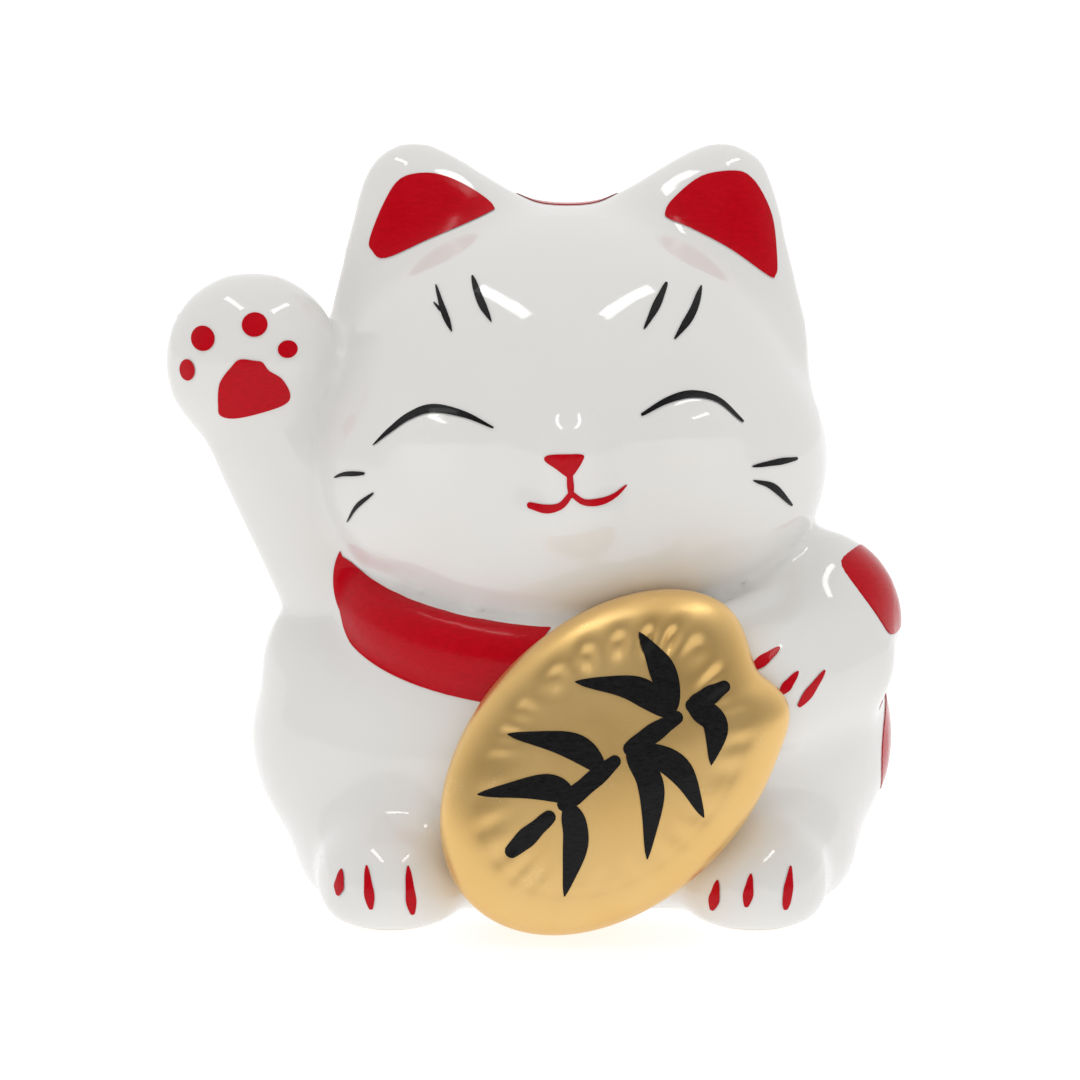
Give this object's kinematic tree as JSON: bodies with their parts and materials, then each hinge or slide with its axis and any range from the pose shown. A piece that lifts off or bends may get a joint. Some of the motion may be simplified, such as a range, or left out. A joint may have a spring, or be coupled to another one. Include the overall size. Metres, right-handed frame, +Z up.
{
  "type": "beckoning cat figurine",
  "caption": "Glazed ceramic beckoning cat money bank with a raised paw, an oval coin relief, a coin slot behind and a base plug.",
  "frame": {"origin": "on the surface the cat stands on, under the centre of its bounding box", "axes": "+Z up; the cat faces -Y; its own right side, with the raised paw, is at -X"},
  "size_m": [0.1472, 0.1194, 0.1478],
  "materials": {
    "ceramic_glaze": "high-gloss clear glaze on white slip-cast earthenware, unglazed underneath",
    "red_enamel": "glossy brushed red enamel",
    "black_enamel": "glossy brushed black enamel",
    "gold_lacquer": "semi-gloss gold bronze-powder lacquer",
    "soft_pvc": "matt translucent soft PVC"
  },
  "bodies": {
    "cat": {"brow_left_inner": "black_enamel", "brow_left_outer": "black_enamel", "brow_right_inner": "black_enamel", "brow_right_outer": "black_enamel", "ceramic_shell": "ceramic_glaze", "collar_red_back": "red_enamel", "collar_red_front": "red_enamel", "crown_spot": "red_enamel", "ear_red_left": "red_enamel", "ear_red_right": "red_enamel", "eye_line_left": "black_enamel", "eye_line_right": "black_enamel", "flank_spot": "red_enamel", "koban_brushwork": "black_enamel", "koban_gold": "gold_lacquer", "left_foot_claw_1": "red_enamel", "left_foot_claw_2": "red_enamel", "left_foot_claw_3": "red_enamel", "left_paw_claw_1": "red_enamel", "left_paw_claw_2": "red_enamel", "left_paw_claw_3": "red_enamel", "nose_and_mouth": "red_enamel", "palm_pad": "red_enamel", "raised_paw_back_spot": "red_enamel", "right_foot_claw_1": "red_enamel", "right_foot_claw_2": "red_enamel", "right_foot_claw_3": "red_enamel", "shoulder_spot": "red_enamel", "toe_pad_1": "red_enamel", "toe_pad_2": "red_enamel", "toe_pad_3": "red_enamel", "toe_pad_4": "red_enamel", "whisker_left_lower": "black_enamel", "whisker_left_upper": "black_enamel", "whisker_right_lower": "black_enamel", "whisker_right_upper": "black_enamel"},
    "stopper": {"base_stopper": "soft_pvc"}
  },
  "joints": [
    {"name": "stopper_pull", "type": "slide", "parent": "cat", "child": "stopper", "axis": [0, 0, -1], "range_m": [0, 0.03]}
  ]
}
